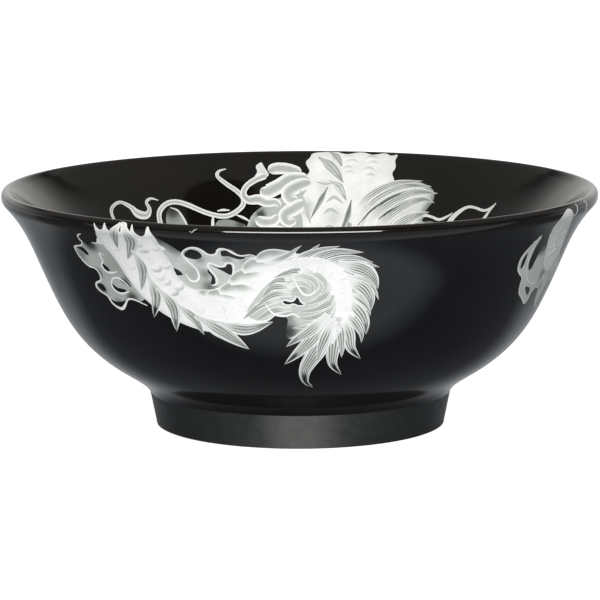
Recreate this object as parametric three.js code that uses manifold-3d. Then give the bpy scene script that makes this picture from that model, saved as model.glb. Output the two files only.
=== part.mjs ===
// A black glazed noodle bowl on a turned foot, with a white dragon printed on four transfer sheets.
// Millimetres, +Z up. The origin is the middle of the foot's resting edge and -Y is the front.
//
// The bowl is built up as the potter builds it: a clay body with a foot ring luted under it, coats
// of glaze over the clay, and printed transfers fired onto the glaze.

import * as THREE from 'three';
import { mergeVertices } from 'three/addons/utils/BufferGeometryUtils.js';
import Module from 'manifold-3d';

// Driving dimensions
const rimRadius = 105;
const bowlHeight = 84;
const wallThickness = 4.8; // clay with the glaze on both its faces
const glazeThickness = 0.5;
const floorHeight = 17; // glazed inside of the bowl, at its middle

// Foot
const jointRadius = 53.2;
const jointHeight = 12; // the foot ring is luted to the body at this level
const footBottomRadius = 50.9;
const restingOuterRadius = 50;
const restingInnerRadius = 46.4;
const recessRadius = 45; // inside of the ring, at the top of the recess
const bareEdge = 0.8; // height wiped free of glaze, so that the foot doesn't stick to the kiln shelf

// Printed transfers
const transferThickness = 0.15;
const transferGap = 0.02; // flux between the print and the glaze under it

const turns = 60; // flats around every turned surface
const splineSteps = 3; // straight steps between two points of a print's outline
const prismDepth = rimRadius + 10; // reaches from the middle of the bowl past its wall

const wasm = await Module();
wasm.setup();

const at = (radius, height) => new THREE.Vector2(radius, height);

// ---------- Outlines: half sections, with the axis of the bowl at radius 0 ----------

const bezier = (start, leaving, arriving, end, steps) =>
  new THREE.CubicBezierCurve(start, leaving, arriving, end).getPoints(steps);

// Joins stretches that share their end points into one outline.
const chain = (...stretches) =>
  stretches.flatMap((stretch, i) => (i === 0 ? stretch : stretch.slice(1)));

// Moves an outline sideways, to the left of the way it runs.
function offset(outline, distance) {
  return outline.map((point, i) => {
    const before = outline[Math.max(i - 1, 0)];
    const after = outline[Math.min(i + 1, outline.length - 1)];
    const along = after.clone().sub(before).normalize();
    return at(point.x - along.y * distance, point.y + along.x * distance);
  });
}

// The band between two outlines that run the same way.
const band = (one, other) => [...one, ...other.slice().reverse()];

// The glazed surface runs up the outside, over the lip and down the inside to the axis.
const joint = at(jointRadius, jointHeight);
const underside = at(69.4, 24.4);
const shoulder = at(90.3, 55.1);
const lipCorner = at(rimRadius - 0.2, bowlHeight - 4);

const outerWall = chain(
  bezier(joint, at(55.4, 16.6), at(62.2, 18.8), underside, 3),
  bezier(underside, at(80.5, 32.9), at(85, 43.2), shoulder, 4),
  bezier(shoulder, at(94.5, 64.6), at(96.4, 71), lipCorner, 4),
);

const innerWall = offset(outerWall, wallThickness).slice(3).reverse();
const lipInside = innerWall[0];
const floorEdge = innerWall[innerWall.length - 1];

const lipRound = 1.8;
const lipTop = at(rimRadius - lipRound, bowlHeight);
const lip = chain(
  [lipCorner, at(rimRadius, bowlHeight - 3)],
  [at(rimRadius, bowlHeight - 3), at(rimRadius, bowlHeight - lipRound)],
  bezier(
    at(rimRadius, bowlHeight - lipRound),
    at(rimRadius, bowlHeight - 0.8),
    at(rimRadius - 0.8, bowlHeight),
    lipTop,
    3,
  ),
  bezier(lipTop, at(102.5, bowlHeight), at(101.6, 83.7), lipInside, 2),
);

const floor = bezier(floorEdge, at(58.5, 22.2), at(30, floorHeight), at(0, floorHeight), 4);

const footSide = [
  at(footBottomRadius, bareEdge),
  at(footBottomRadius + 1, 5),
  at(jointRadius - 0.7, 9),
  joint,
];

// One run of the whole glazed surface, and the clay's own surface under it.
const skin = chain(footSide, outerWall, lip, innerWall, floor);
const clay = offset(skin, glazeThickness);
const jointIndex = footSide.length - 1;
const lipStart = jointIndex + outerWall.length - 1;
const lipEnd = lipStart + lip.length - 1;
clay[jointIndex].y = jointHeight;
clay[clay.length - 1].x = 0;

const skinFrom = (first, last) => skin.slice(first, last + 1);
const clayFrom = (first, last) => clay.slice(first, last + 1);

// ---------- Solids ----------

// Turns a closed outline about the vertical axis.
function turned(outline) {
  const geometry = new THREE.LatheGeometry([...outline, outline[0]], turns);
  return geometry.rotateX(Math.PI / 2);
}

function solidOf(geometry) {
  const bare = geometry.clone();
  bare.deleteAttribute('normal');
  bare.deleteAttribute('uv');
  const merged = mergeVertices(bare, 1e-3);
  return new wasm.Manifold(
    new wasm.Mesh({
      numProp: 3,
      vertProperties: new Float32Array(merged.attributes.position.array),
      triVerts: new Uint32Array(merged.index.array),
    }),
  );
}

function geometryOf(solid) {
  const { vertProperties, triVerts } = solid.getMesh();
  const geometry = new THREE.BufferGeometry();
  geometry.setAttribute('position', new THREE.BufferAttribute(vertProperties, 3));
  geometry.setIndex(new THREE.BufferAttribute(triVerts, 1));
  geometry.computeVertexNormals();
  return geometry;
}

// A transfer sheet: the print layer on one wall, trimmed to an outline drawn in the front elevation.
// The outline is a smooth closed curve through [x, z] points, cut through one half of the bowl.
function transfer(wall, outlinePoints, half) {
  const outline = new THREE.Shape();
  const [first, ...others] = outlinePoints.map(([x, z]) => at(x, z));
  outline.moveTo(first.x, first.y);
  outline.splineThru([...others, first]);

  const prism = new THREE.ExtrudeGeometry(outline, {
    depth: prismDepth,
    bevelEnabled: false,
    curveSegments: splineSteps,
  });
  prism.rotateX(Math.PI / 2);
  if (half === 'back') prism.translate(0, prismDepth, 0);

  const layer = turned(
    band(offset(wall, -transferGap), offset(wall, -transferGap - transferThickness)).reverse(),
  );
  return geometryOf(solidOf(layer).intersect(solidOf(prism)));
}

// ---------- Materials ----------

const finish = (color, roughness) =>
  new THREE.MeshStandardMaterial({ color, roughness, metalness: 0 });

const stoneware = finish(0x8f857a, 0.9);
const glossBlack = finish(0x141416, 0.1);
const rimBlack = finish(0x1f1a16, 0.15);
const satinBlack = finish(0x1b1d1f, 0.4);
const whiteEnamel = finish(0xe4e7e4, 0.3);

// ---------- Pieces ----------

const bowl = new THREE.Group();

function addPiece(name, geometry, material) {
  const mesh = new THREE.Mesh(geometry, material);
  mesh.name = name;
  bowl.add(mesh);
}

// The clay body: wall, lip and floor, flat underneath where the ring meets it.
addPiece('bowl_body', turned([...clayFrom(jointIndex, clay.length - 1), at(0, jointHeight)]), stoneware);

// The foot ring tapers to its resting edge and stands 12 mm high.
addPiece(
  'foot_ring',
  turned([
    at(restingOuterRadius, 0),
    ...clayFrom(0, jointIndex),
    at(recessRadius, jointHeight),
    at(restingInnerRadius, bareEdge),
    at(restingInnerRadius - 0.2, 0),
  ]),
  stoneware,
);

addPiece(
  'outside_glaze',
  turned(band(skinFrom(jointIndex, lipStart), clayFrom(jointIndex, lipStart))),
  glossBlack,
);

addPiece(
  'rim_glaze',
  turned(band(skinFrom(lipStart, lipEnd), clayFrom(lipStart, lipEnd))),
  rimBlack,
);

addPiece(
  'inside_glaze',
  turned(band(skinFrom(lipEnd, skin.length - 1), clayFrom(lipEnd, skin.length - 1))),
  glossBlack,
);

addPiece(
  'foot_glaze',
  turned(band(skinFrom(0, jointIndex), clayFrom(0, jointIndex))),
  satinBlack,
);

// The recess inside the foot is glazed on its side and its ceiling.
addPiece(
  'recess_glaze',
  turned([
    at(0, jointHeight),
    at(0, jointHeight - glazeThickness),
    at(recessRadius - glazeThickness, jointHeight - glazeThickness),
    at(restingInnerRadius - glazeThickness, bareEdge),
    at(restingInnerRadius, bareEdge),
    at(recessRadius, jointHeight),
  ]),
  satinBlack,
);

// The dragon's body drops from the rim, swings up again and ends in a feathered tail.
addPiece(
  'front_transfer',
  transfer(
    outerWall,
    [
      [-67, 78], [-48, 78], [-38, 62], [-31, 61], [-26, 74], [-3, 75], [11, 76], [21, 71],
      [26, 61], [22, 46], [16, 38], [3, 28], [-5, 36], [0, 46], [-8, 53], [-18, 46],
      [-29, 43], [-41, 48], [-51, 53], [-60, 52], [-69, 60], [-75, 70],
    ],
    'front',
  ),
  whiteEnamel,
);

// A foreleg reaches down from the rim to its claws.
addPiece(
  'right_transfer',
  transfer(
    outerWall,
    [[87, 78], [94, 78], [92, 68], [88, 57], [83, 52], [78, 48], [74, 55], [73, 63], [78, 72]],
    'front',
  ),
  whiteEnamel,
);

// The body comes over the back of the rim, dips and ends in a tuft, with a cloud on either side.
addPiece(
  'back_transfer',
  transfer(
    outerWall,
    [
      [4, 78], [40, 78], [53, 75], [54, 63], [49, 55], [38, 46], [24, 38], [8, 33], [-10, 30],
      [-28, 31], [-42, 37], [-54, 47], [-64, 60], [-64, 74], [-46, 76], [-36, 70], [-18, 70], [-3, 66],
    ],
    'back',
  ),
  whiteEnamel,
);

// The head, its mane and whiskers and one forefoot fill the far side of the inside.
addPiece(
  'inside_transfer',
  transfer(
    innerWall,
    [
      [-67, 59], [-69, 70], [-55, 72], [-39, 69], [-32, 78], [-16, 80], [4, 80.5], [38, 80.5],
      [41, 76], [51, 75], [55, 68], [71, 71], [67, 62], [52, 50], [47, 38], [36, 32], [18, 38],
      [2, 35], [-8, 31], [-36, 30], [-45, 33], [-50, 43], [-59, 49],
    ],
    'back',
  ),
  whiteEnamel,
);

export default bowl;
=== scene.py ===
"""Looks for the black glazed noodle bowl with a white dragon print.

The glaze coats are turned finely from the same outlines as the CAD part. The print is thin fired
enamel: strokes drawn in millimetres on the unrolled wall, u to the right and v up the wall from
the foot joint, and each stroke is a closed solid that follows the wall. A filled shape is drawn as
(u, v) points, a line as (u, v, width) points, and a puff of shade as (u, v, radius, depth).
"""

import math
import random

import bmesh
import bpy
import numpy as np
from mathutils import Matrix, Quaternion, Vector
from mathutils.geometry import delaunay_2d_cdt


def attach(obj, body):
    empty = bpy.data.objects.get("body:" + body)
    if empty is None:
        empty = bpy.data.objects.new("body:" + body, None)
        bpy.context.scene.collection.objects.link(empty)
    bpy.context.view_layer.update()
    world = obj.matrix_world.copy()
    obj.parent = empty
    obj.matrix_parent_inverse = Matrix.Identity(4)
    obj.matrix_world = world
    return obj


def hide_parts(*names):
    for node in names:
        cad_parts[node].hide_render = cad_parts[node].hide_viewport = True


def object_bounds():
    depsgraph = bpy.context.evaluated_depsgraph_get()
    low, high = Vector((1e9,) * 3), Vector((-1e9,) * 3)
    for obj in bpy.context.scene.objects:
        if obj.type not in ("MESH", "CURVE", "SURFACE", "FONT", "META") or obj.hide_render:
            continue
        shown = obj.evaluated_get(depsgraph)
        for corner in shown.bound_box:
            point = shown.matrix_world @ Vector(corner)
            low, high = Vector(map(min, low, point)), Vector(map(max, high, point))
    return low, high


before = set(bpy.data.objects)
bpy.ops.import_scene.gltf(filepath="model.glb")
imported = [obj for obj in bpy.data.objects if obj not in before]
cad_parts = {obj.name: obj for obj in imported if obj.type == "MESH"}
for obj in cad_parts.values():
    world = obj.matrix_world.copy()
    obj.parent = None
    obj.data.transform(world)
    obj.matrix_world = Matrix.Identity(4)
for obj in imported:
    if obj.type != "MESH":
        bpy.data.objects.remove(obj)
cad_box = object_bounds()

MM = 0.001
chance = random.Random(7)

# ---------- Dimensions, in millimetres ----------

rim_radius = cad_box[1].x / MM
bowl_height = cad_box[1].z / MM
wall_thickness = 4.8
glaze_thickness = 0.5
floor_height = 17  # glazed inside of the bowl, at its middle

joint_radius = 53.2
joint_height = 12
foot_bottom_radius = 50.9
resting_outer_radius = 50
resting_inner_radius = 46.4
recess_radius = 45
bare_edge = 0.35  # height wiped free of glaze

print_room = 0.25  # kept free outside the rim, so that print on it stays inside the CAD box
rim = rim_radius - print_room
joint = (joint_radius, joint_height)

turns = 288  # flats around every turned surface
wall_steps = 14  # straight steps in each stretch of the wall
on_axis = 1e-6  # a radius below this is the axis

# ---------- Outlines: (radius, height) ----------


def bezier(start, leaving, arriving, end, steps=wall_steps):
    """Points along a cubic curve between two ends, with two handles to steer it."""
    t = np.linspace(0, 1, steps + 1)[:, None]
    a, b, c, d = (np.array(p, float) for p in (start, leaving, arriving, end))
    return (1 - t) ** 3 * a + 3 * (1 - t) ** 2 * t * b + 3 * (1 - t) * t**2 * c + t**3 * d


def chain(*stretches):
    """Joins stretches that share their end points."""
    return np.vstack([stretches[0]] + [s[1:] for s in stretches[1:]])


def normals_of(outline):
    """Unit vectors to the right of the way an outline runs."""
    along = np.gradient(outline, axis=0)
    along /= np.linalg.norm(along, axis=1)[:, None]
    return np.column_stack([along[:, 1], -along[:, 0]])


underside = (69.4, 24.4)
shoulder = (90.3, 55.1)
wall_top = (rim - 1.2, bowl_height - 5.1)
lip_round = 1.8

wall_run = chain(
    bezier(joint, (55.4, 16.6), (62.2, 18.8), underside),
    bezier(underside, (80.5, 32.9), (85, 43.2), shoulder),
    bezier(shoulder, (94.5, 64.6), (96.6, 71.2), wall_top),
)
inner_wall = wall_run - normals_of(wall_run) * wall_thickness
inner_wall = inner_wall[wall_steps:][::-1]  # its lowest stretch is inside the floor
lip_inside = inner_wall[0]

# The wall turns up into the lip over a soft arris, where its glaze ends and the rim's begins.
arris_top = (rim, bowl_height - 2.4)
glaze_change = 4  # of the arris's 12 steps
arris = bezier(wall_top, (rim - 0.45, bowl_height - 4.3), (rim, bowl_height - 3.5), arris_top, 12)
outer_wall = chain(wall_run, arris[: glaze_change + 1])
lip = chain(
    arris[glaze_change:],
    bezier(
        arris_top,
        (rim, bowl_height - 0.9),
        (rim - 0.8, bowl_height),
        (rim - lip_round, bowl_height),
        10,
    ),
    bezier(
        (rim - lip_round, bowl_height),
        (rim - 2.7, bowl_height),
        (lip_inside[0] + 1.3, lip_inside[1] + 1.25),
        lip_inside,
        8,
    ),
)
floor_line = bezier(inner_wall[-1], (58.5, 22.2), (30, floor_height), (0, floor_height), 20)
foot_side = bezier((foot_bottom_radius, bare_edge), (51.6, 4), (52.4, 8), joint, 10)

# ---------- Solids ----------


def ride_and_name(obj, node):
    """Ties a piece to the frame's root body and hides the CAD node it replaces."""
    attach(obj, "root")
    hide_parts(node)
    return obj


def mesh_object(name, points, faces, material):
    """A mesh of points in millimetres, smooth except where its faces meet at a sharp angle."""
    sharp_angle = 35
    mesh = bpy.data.meshes.new(name)
    mesh.from_pydata((np.asarray(points) * MM).tolist(), [], faces)
    mesh.shade_smooth()
    mesh.set_sharp_from_angle(angle=math.radians(sharp_angle))
    mesh.materials.append(material)
    obj = bpy.data.objects.new(name, mesh)
    bpy.context.scene.collection.objects.link(obj)
    return obj


def turned(name, outline, material, node):
    """Turns a closed (radius, height) outline about the vertical axis. Points at radius 0 are poles."""
    points = []
    rings = []
    angles = np.arange(turns) * 2 * math.pi / turns
    for radius, height in outline:
        if radius < on_axis:
            rings.append([len(points)] * turns)
            points.append((0, 0, height))
            continue
        rings.append(list(range(len(points), len(points) + turns)))
        points.extend((radius * math.cos(a), radius * math.sin(a), height) for a in angles)
    faces = []
    for ring, following in zip(rings, rings[1:] + rings[:1]):
        for i in range(turns):
            j = (i + 1) % turns
            corners = dict.fromkeys((ring[i], ring[j], following[j], following[i]))
            if len(corners) > 2:
                faces.append(tuple(corners))
    return ride_and_name(mesh_object(name, points, faces, material), node)


def coat(name, skin, material, node):
    """A glaze coat: the band between a glazed surface and the clay under it."""
    clay = skin - normals_of(skin) * glaze_thickness
    clay[:, 0] = np.maximum(clay[:, 0], 0)
    if skin[-1][0] < on_axis:
        clay[-1] = (0, clay[-1][1])
    return turned(name, [*skin, *clay[::-1]], material, node)


# ---------- Materials ----------


class Shader:
    """A Principled material whose nodes are added one after another."""

    def __init__(self, name, **sockets):
        self.material = bpy.data.materials.new(name)
        self.material.use_nodes = True
        self.tree = self.material.node_tree
        self.surface = self.tree.nodes["Principled BSDF"]
        for socket, value in sockets.items():
            self.surface.inputs[socket.replace("_", " ")].default_value = value

    def node(self, kind, settings=(), **inputs):
        """Adds a node. An input is given by its name, or as _ and its number."""
        made = self.tree.nodes.new(kind)
        for name, value in dict(settings).items():
            setattr(made, name, value)
        for name, value in inputs.items():
            socket = made.inputs[int(name[1:])] if name[1:].isdigit() else made.inputs[name]
            if isinstance(value, bpy.types.NodeSocket):
                self.tree.links.new(value, socket)
            else:
                socket.default_value = value
        return made

    def place(self):
        """Where a point is on the object, in metres."""
        return self.node("ShaderNodeTexCoord").outputs["Object"]

    def noise(self, size, detail=2.0):
        """Noise whose blotches are about size millimetres wide."""
        scale = 1 / (size * MM)
        made = self.node("ShaderNodeTexNoise", Vector=self.place(), Scale=scale, Detail=detail)
        return made.outputs["Fac"]

    def spread(self, value, low, high, to_low, to_high):
        """Runs from to_low to to_high while value runs from low to high, and holds beyond them."""
        made = self.node("ShaderNodeMapRange", _0=value, _1=low, _2=high, _3=to_low, _4=to_high)
        return made.outputs["Result"]

    def math(self, operation, first, second=0.0, clamp=False):
        made = self.node(
            "ShaderNodeMath", {"operation": operation, "use_clamp": clamp}, _0=first, _1=second
        )
        return made.outputs[0]

    def blend(self, amount, first, second):
        made = self.node("ShaderNodeMix", {"data_type": "RGBA"}, _0=amount, _6=first, _7=second)
        return made.outputs[2]

    def ramp(self, value, *stops):
        """A colour that passes through the (position, colour) stops."""
        made = self.node("ShaderNodeValToRGB", Fac=value)
        elements = made.color_ramp.elements
        while len(elements) < len(stops):
            elements.new(0.5)
        for element, (position, colour) in zip(elements, stops):
            element.position = position
            element.color = (*colour, 1)
        return made.outputs["Color"]

    def attribute(self, name):
        return self.node("ShaderNodeAttribute", {"attribute_name": name}).outputs["Fac"]

    def colour(self, value):
        self.tree.links.new(value, self.surface.inputs["Base Color"])

    def roughness(self, value):
        self.tree.links.new(value, self.surface.inputs["Roughness"])

    def bump(self, height, distance):
        """Raises the surface by up to distance millimetres where height is 1."""
        made = self.node("ShaderNodeBump", Height=height, Distance=distance * MM, Strength=1.0)
        self.tree.links.new(made.outputs["Normal"], self.surface.inputs["Normal"])


def rgba(red, green, blue):
    return (red, green, blue, 1.0)


def pinholes(shader, spacing, share):
    """1 in small sparse dots, which are bubbles that burst in the glaze, and 0 elsewhere."""
    scale = 1 / (spacing * MM)
    cells = shader.node("ShaderNodeTexVoronoi", Vector=shader.place(), Scale=scale)
    dot = shader.spread(cells.outputs["Distance"], 0.03, 0.06, 1.0, 0.0)
    chosen = shader.math("LESS_THAN", cells.outputs["Color"], share)
    return shader.math("MULTIPLY", dot, chosen)


def gloss_glaze(name, deep, thin):
    """Black gloss glaze: slow drifts of tint, sparse pinholes and a faint orange peel."""
    shader = Shader(name, IOR=1.5)
    drift = shader.spread(shader.noise(38, detail=4), 0.35, 0.65, 0.0, 1.0)
    tint = shader.blend(drift, rgba(*deep), rgba(*thin))
    holes = pinholes(shader, 6.0, 0.05)
    shader.colour(shader.blend(holes, tint, rgba(0.06, 0.058, 0.054)))
    shader.roughness(shader.spread(shader.noise(24, detail=3), 0.3, 0.7, 0.07, 0.12))
    peel = shader.math("ADD", shader.noise(16), shader.math("MULTIPLY", holes, -1.5))
    shader.bump(peel, 0.012)
    return shader.material


def rim_glaze():
    """The glaze runs thin over the lip and breaks to iron brown along its edge."""
    shader = Shader("rim_glaze", IOR=1.5)
    height = shader.node("ShaderNodeSeparateXYZ", Vector=shader.place()).outputs["Z"]
    wander = shader.math("MULTIPLY", shader.noise(9, detail=5), 0.9 * MM)
    level = shader.math("ADD", height, wander)
    edge = shader.spread(level, (bowl_height - 0.5) * MM, (bowl_height + 0.9) * MM, 0.0, 1.0)
    mottle = shader.noise(5, detail=4)
    body = shader.blend(mottle, rgba(0.003, 0.0025, 0.002), rgba(0.006, 0.0048, 0.004))
    shader.colour(shader.blend(edge, body, rgba(0.014, 0.010, 0.008)))
    shader.roughness(shader.spread(shader.noise(7, detail=4), 0.3, 0.7, 0.05, 0.09))
    shader.bump(shader.noise(5, detail=3), 0.012)
    return shader.material


def satin_glaze():
    """Satin black of the foot: fine grain, with faint rings left by the turning tool."""
    shader = Shader("satin_glaze", IOR=1.48)
    mottle = shader.noise(6, detail=6)
    shader.colour(shader.blend(mottle, rgba(0.007, 0.008, 0.009), rgba(0.012, 0.013, 0.014)))
    shader.roughness(shader.spread(shader.noise(3, detail=5), 0.25, 0.75, 0.36, 0.5))
    rings = shader.node(
        "ShaderNodeTexWave",
        {"bands_direction": "Z"},
        Vector=shader.place(),
        Scale=250.0,
        Distortion=1.2,
        Detail=2.0,
    )
    turning = shader.math("MULTIPLY", rings.outputs["Fac"], 0.5)
    shader.bump(shader.math("ADD", shader.noise(0.5, detail=3), turning), 0.03)
    return shader.material


def dark_clay():
    """Iron stoneware, bare where the foot rests: matt, gritty, with darker and paler grog."""
    shader = Shader("dark_clay", Roughness=0.9)
    body = shader.blend(shader.noise(4, detail=6), rgba(0.020, 0.016, 0.013), rgba(0.055, 0.042, 0.032))
    grog = pinholes(shader, 1.4, 0.3)
    shader.colour(shader.blend(grog, body, rgba(0.16, 0.13, 0.10)))
    shader.bump(shader.noise(0.6, detail=6), 0.08)
    return shader.material


def enamel():
    """Fired white print. The tone on the mesh goes from bare black glaze to full white, and fine
    strokes are scratched along the hatch coordinate."""
    shader = Shader("white_enamel", IOR=1.5)
    wobble = shader.math("MULTIPLY", shader.noise(5, detail=2), 0.35)
    lane = shader.math("PINGPONG", shader.math("ADD", shader.attribute("hatch"), wobble), 0.5)
    line = shader.spread(lane, 0.08, 0.3, 1.0, 0.0)
    cut = shader.math("MULTIPLY", line, shader.attribute("cut"))
    inked = shader.math("MULTIPLY", shader.attribute("tone"), shader.math("SUBTRACT", 1.0, cut))
    grain = shader.spread(shader.noise(0.45, detail=3), 0.25, 0.75, -0.07, 0.07)
    cloud = shader.spread(shader.noise(5, detail=3), 0.25, 0.75, -0.05, 0.05)
    uneven = shader.math("MULTIPLY", shader.math("ADD", grain, cloud), shader.math("SQRT", inked))
    tone = shader.math("ADD", inked, uneven, clamp=True)
    shader.colour(
        shader.ramp(
            tone,
            (0.0, (0.005, 0.005, 0.006)),
            (0.25, (0.075, 0.083, 0.078)),
            (0.5, (0.27, 0.295, 0.275)),
            (0.75, (0.56, 0.585, 0.565)),
            (1.0, (0.84, 0.845, 0.84)),
        )
    )
    shader.roughness(shader.spread(inked, 0.0, 0.6, 0.1, 0.32))
    shader.bump(shader.noise(0.5, detail=3), 0.006)
    return shader.material


outside_black = gloss_glaze("outside_glaze", (0.0016, 0.0018, 0.0022), (0.0034, 0.0036, 0.0044))
inside_black = gloss_glaze("inside_glaze", (0.0042, 0.0038, 0.0032), (0.0070, 0.0063, 0.0054))
rim_brown = rim_glaze()
satin_black = satin_glaze()
iron_clay = dark_clay()
white_enamel = enamel()

# ---------- The turned pieces ----------

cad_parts["bowl_body"].data.materials.clear()
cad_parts["bowl_body"].data.materials.append(iron_clay)

coat("outside_coat", outer_wall, outside_black, "outside_glaze")
coat("rim_coat", lip, rim_brown, "rim_glaze")
coat("inside_coat", chain(inner_wall, floor_line), inside_black, "inside_glaze")
foot_coat = coat("foot_coat", foot_side, satin_black, "foot_glaze")

recess_top = joint_height - glaze_thickness
turned(
    "recess_coat",
    [
        (0, joint_height),
        (0, recess_top),
        *bezier(
            (recess_radius - 4, recess_top),
            (recess_radius - 2, recess_top),
            (recess_radius - 0.6, recess_top - 1),
            (recess_radius - 0.4, recess_top - 3),
            8,
        ),
        (resting_inner_radius - glaze_thickness, bare_edge),
        (resting_inner_radius, bare_edge),
        (recess_radius, joint_height),
    ],
    satin_black,
    "recess_glaze",
)

clay_side = foot_side - normals_of(foot_side) * glaze_thickness
turned(
    "foot_clay",
    [
        *bezier(
            (resting_inner_radius, bare_edge),
            (resting_inner_radius, 0.1),
            (resting_inner_radius + 0.1, 0),
            (resting_inner_radius + 0.5, 0),
            5,
        ),
        *bezier(
            (resting_outer_radius - 0.1, 0),
            (resting_outer_radius + 0.2, 0),
            (resting_outer_radius + 0.4, 0.1),
            (clay_side[0][0], bare_edge),
            5,
        ),
        *clay_side[1:],
        (recess_radius, joint_height),
    ],
    iron_clay,
    "foot_ring",
)

# ---------- The wall, unrolled ----------

sheet_radius = 90  # the wall is unrolled at this radius
fused = 0.03  # how far a stroke sinks into the glaze


class Panel:
    """A stretch of wall to draw on, with v counted from start, for the print that is the CAD part's
    node. turn is 1 outside and -1 inside, so that u runs to the right of whoever looks at it."""

    def __init__(self, node, wall, start, centre_degrees, turn):
        self.node = node
        self.wall = wall
        self.outward = normals_of(wall) * turn
        steps = np.linalg.norm(np.diff(wall, axis=0), axis=1)
        self.climb = start + np.concatenate([[0], np.cumsum(steps)])
        self.centre = math.radians(centre_degrees)
        self.turn = turn

    def lay(self, sheet, lift):
        """Points of the sheet, u and v, as points on the wall, lifted off it."""
        angle = self.centre + self.turn * sheet[:, 0] / sheet_radius
        radius, height = (np.interp(sheet[:, 1], self.climb, self.wall[:, i]) for i in (0, 1))
        out, up = (np.interp(sheet[:, 1], self.climb, self.outward[:, i]) for i in (0, 1))
        radius = radius + out * lift
        height = height + up * lift
        return np.column_stack([radius * np.sin(angle), -radius * np.cos(angle), height])


# Print can run part of the way over the lip, from either side.
lip_points_outside = 15
lip_points_inside = 6
outside_path = chain(outer_wall, lip[:lip_points_outside])
inside_path = chain(inner_wall[::-1], lip[::-1][:lip_points_inside])
inside_start = 22.8  # v where the inner wall leaves the floor
front = Panel("front_transfer", outside_path, 0, -17, 1)
right = Panel("right_transfer", outside_path, 0, 58, 1)
back = Panel("back_transfer", outside_path, 0, 180, 1)
inside = Panel("inside_transfer", inside_path, inside_start, 180, -1)

# ---------- Strokes on the sheet ----------
# Each is a dict: the (u, v) points of its sheet, its faces, and each point's tone, cut and hatch.


def curve(points, step, closed=False):
    """An even run of points along a smooth curve through the given ones."""
    fine_steps = 12  # between two given points
    given = np.array(points, float)
    if len(given) == 2:
        given = np.array([given[0], given.mean(0), given[1]])
    if closed:
        padded = np.vstack([given[-1:], given, given[:2]])
    else:
        padded = np.vstack([2 * given[0] - given[1], given, 2 * given[-1] - given[-2]])
    t = np.linspace(0, 1, fine_steps, endpoint=False)[:, None]
    runs = []
    for a, b, c, d in zip(padded, padded[1:], padded[2:], padded[3:]):
        bend = 2 * a - 5 * b + 4 * c - d
        twist = 3 * b - a - 3 * c + d
        runs.append(0.5 * (2 * b + (c - a) * t + bend * t**2 + twist * t**3))
    fine = np.vstack([*runs, padded[-2][None, :]])
    length = np.concatenate([[0], np.cumsum(np.linalg.norm(np.diff(fine[:, :2], axis=0), axis=1))])
    count = max(3, round(length[-1] / step))
    even = np.linspace(0, length[-1], count + 1)
    if closed:
        even = even[:-1]
    return np.column_stack([np.interp(even, length, fine[:, i]) for i in range(fine.shape[1])])


def grid_stroke(first, last, cells, tone, lines, cut, closed=False):
    """A stroke filled with rows of faces between two edges with as many points each."""
    rows = len(first)
    across = np.linspace(-1, 1, cells + 1)
    share = (across[None, :, None] + 1) / 2
    sheet = first[:, None] * (1 - share) + last[:, None] * share
    far, side = np.meshgrid(np.linspace(0, 1, rows), across, indexing="ij")
    faces = []
    for i in range(rows if closed else rows - 1):
        for j in range(cells):
            near = i * (cells + 1) + j
            next_row = ((i + 1) % rows) * (cells + 1) + j
            faces.append((near, next_row, next_row + 1, near + 1))
    return {
        "sheet": sheet.reshape(-1, 2),
        "faces": faces,
        "tone": (tone(far, side) if callable(tone) else np.full_like(far, tone)).ravel(),
        "cut": (cut(far, side) if callable(cut) else np.full_like(far, cut)).ravel(),
        "hatch": (side * lines / 2).ravel(),
    }


def ribbon(points, tone, lines=0, cut=0.0, step=0.9, closed=False, round_ends=False):
    """A stroke along (u, v, width) points. tone and cut are numbers, or functions of how far along,
    0 to 1, and how far across, -1 to 1. lines is how many strokes are scratched along it."""
    thinnest = 0.05
    widest_pair = 1.8  # of faces side by side
    line = curve(points, step, closed)
    if closed:
        along = (np.roll(line, -1, 0) - np.roll(line, 1, 0))[:, :2]
    else:
        along = np.gradient(line[:, :2], axis=0)
    along /= np.maximum(np.linalg.norm(along, axis=1), 1e-9)[:, None]
    width = np.maximum(line[:, 2], thinnest)
    if round_ends:
        count = np.arange(len(line))
        from_end = (np.minimum(count, count[::-1]) * step + thinnest) * 2 / width
        width = width * np.sqrt(1 - (1 - np.clip(from_end, 0, 1)) ** 2)
    sideways = np.column_stack([-along[:, 1], along[:, 0]]) * width[:, None] / 2
    middle = line[:, :2]
    cells = 2 * math.ceil(width.max() / widest_pair)
    return grid_stroke(middle - sideways, middle + sideways, cells, tone, lines, cut, closed)


def inside_loop(points, loop):
    """Which points lie inside a closed loop."""
    x, y = points[:, :1], points[:, 1:]
    x0, y0 = loop[:, 0], loop[:, 1]
    x1, y1 = np.roll(x0, -1), np.roll(y0, -1)
    crosses = (y0 > y) != (y1 > y)
    rise = np.where(y1 == y0, 1e-9, y1 - y0)
    return (np.sum(crosses & (x < (x1 - x0) * (y - y0) / rise + x0), axis=1) % 2) == 1


def smooth(value, low, high):
    """Rises from 0 at low to 1 at high, softly at both ends."""
    t = np.clip((value - low) / (high - low), 0, 1)
    return t * t * (3 - 2 * t)


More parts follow.
